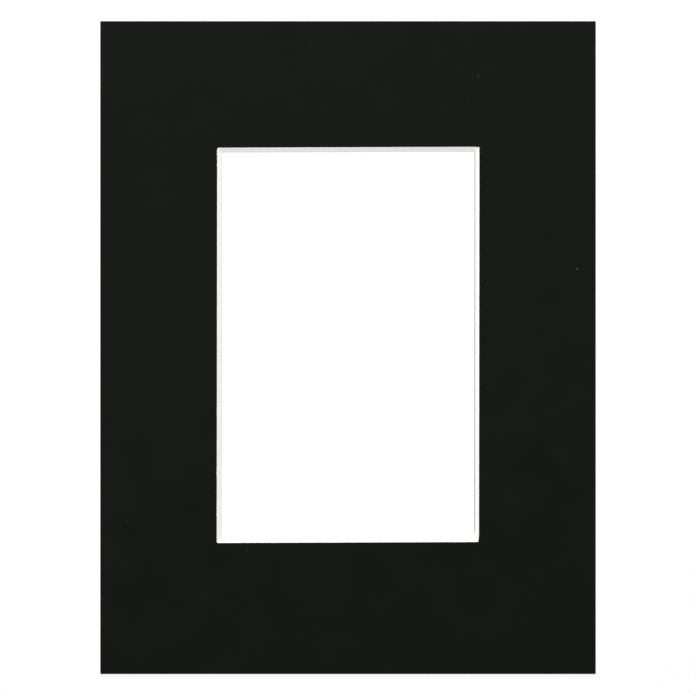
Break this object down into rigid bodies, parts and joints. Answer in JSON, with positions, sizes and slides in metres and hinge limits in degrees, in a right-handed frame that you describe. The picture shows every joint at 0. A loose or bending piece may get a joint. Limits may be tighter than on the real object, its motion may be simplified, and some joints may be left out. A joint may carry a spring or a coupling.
{
  "type": "picture mount",
  "caption": "Flat rectangular picture mount: white-cored board with a black face and an upright rectangular window cut with a bevelled edge.",
  "frame": {"origin": "centre of the back, on the surface that the mount lies on", "axes": "+X towards the right-hand side as seen from the face, +Y towards the top edge, +Z out of the black face"},
  "size_m": [0.18, 0.2372, 0.0018],
  "materials": {
    "white_core": "matte, cut fibre on the edges",
    "black_face": "matte, very fine tooth"
  },
  "bodies": {
    "root": {"core_board": "white_core", "face_paper": "black_face"}
  },
  "joints": []
}
